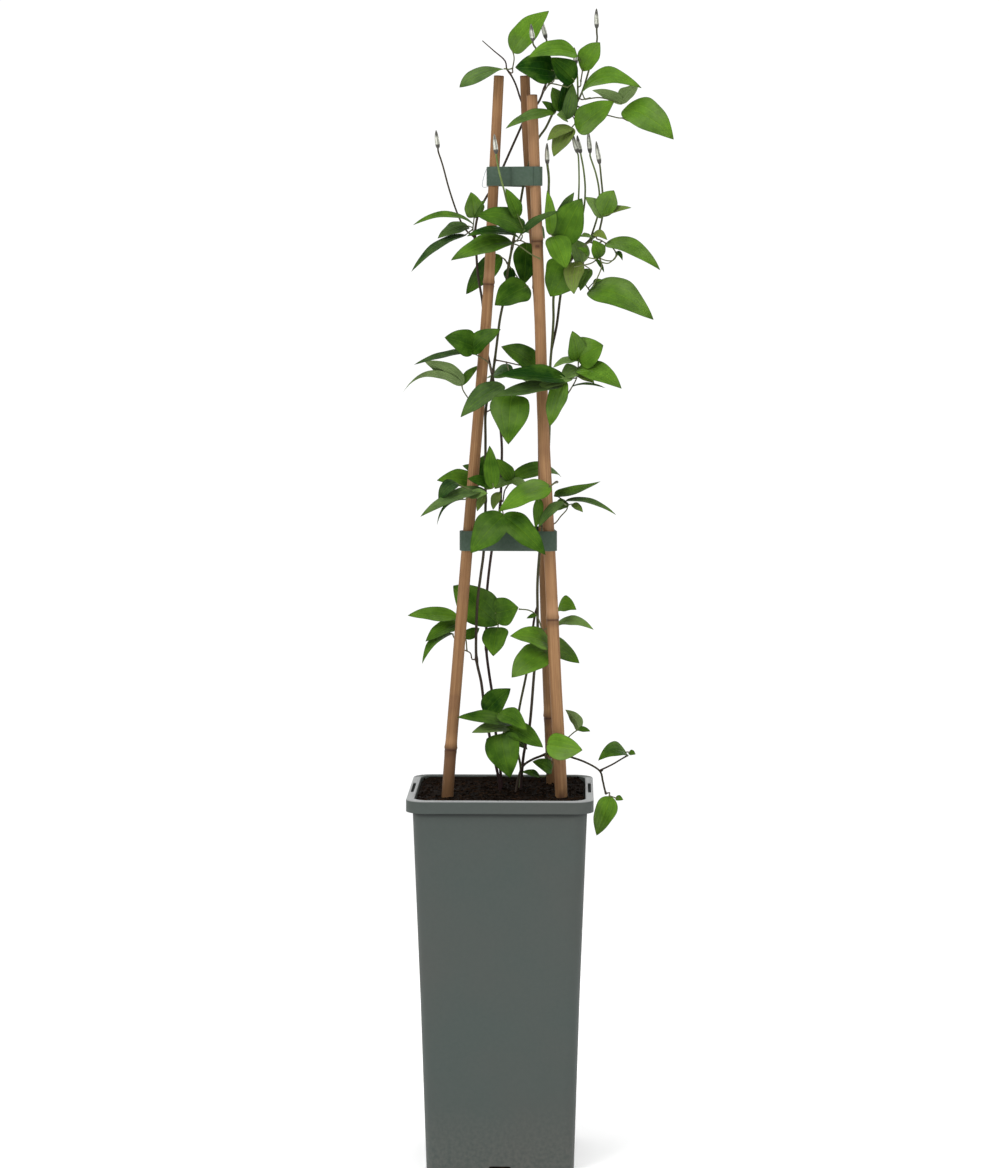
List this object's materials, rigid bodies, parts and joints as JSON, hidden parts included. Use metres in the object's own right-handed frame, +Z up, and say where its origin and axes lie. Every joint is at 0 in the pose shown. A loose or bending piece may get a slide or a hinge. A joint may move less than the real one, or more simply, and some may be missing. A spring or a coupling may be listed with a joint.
{
  "type": "potted climbing plant on canes",
  "caption": "Young clematis with closed cream buds climbing a wigwam of bamboo canes in a tall square pot.",
  "frame": {"origin": "centre of the pot's underside", "axes": "+Z up along the pot, +X to the right of the front view, -Y towards the viewer of the front"},
  "size_m": [0.1695, 0.118, 0.7355],
  "materials": {
    "pot": "satin grey-green moulded plastic",
    "soil": "moist dark peat compost",
    "cane": "dry tan bamboo with darker nodes",
    "band": "satin grey-green plastic strip",
    "stem": "thin purple-brown woody stem",
    "leaf": "fresh green leaf with paler veins",
    "bud": "cream downy bud"
  },
  "bodies": {
    "root": {"band_middle": "band", "band_upper": "band", "bud_01": "bud", "bud_02": "bud", "bud_03": "bud", "bud_04": "bud", "bud_05": "bud", "bud_06": "bud", "bud_07": "bud", "bud_08": "bud", "bud_09": "bud", "bud_10": "bud", "bud_11": "bud", "cane_back": "cane", "cane_left": "cane", "cane_right": "cane", "pot": "pot", "soil": "soil", "spray_fifth_curly": "leaf", "spray_fifth_dark": "leaf", "spray_fifth_front": "leaf", "spray_fifth_inner": "leaf", "spray_fifth_left": "leaf", "spray_fifth_outer": "leaf", "spray_fifth_round": "leaf", "spray_fifth_shade": "leaf", "spray_fifth_tips": "leaf", "spray_fourth_heart": "leaf", "spray_fourth_inner": "leaf", "spray_fourth_left": "leaf", "spray_fourth_outer": "leaf", "spray_fourth_right": "leaf", "spray_low_middle": "leaf", "spray_low_right": "leaf", "spray_low_single": "leaf", "spray_low_small": "leaf", "spray_second_behind": "leaf", "spray_second_left": "leaf", "spray_second_middle": "leaf", "spray_second_right": "leaf", "spray_third_front": "leaf", "spray_third_left": "leaf", "spray_third_middle": "leaf", "spray_third_right": "leaf", "spray_third_twining": "leaf", "spray_top_bright": "leaf", "spray_top_dark": "leaf", "spray_top_front": "leaf", "spray_top_left": "leaf", "spray_top_low": "leaf", "spray_top_outer": "leaf", "spray_top_right": "leaf", "spray_top_upright": "leaf", "spray_trail_lower": "leaf", "spray_trail_upper": "leaf", "vine_left": "stem", "vine_middle": "stem", "vine_right": "stem", "vine_trailing": "stem"}
  },
  "joints": []
}
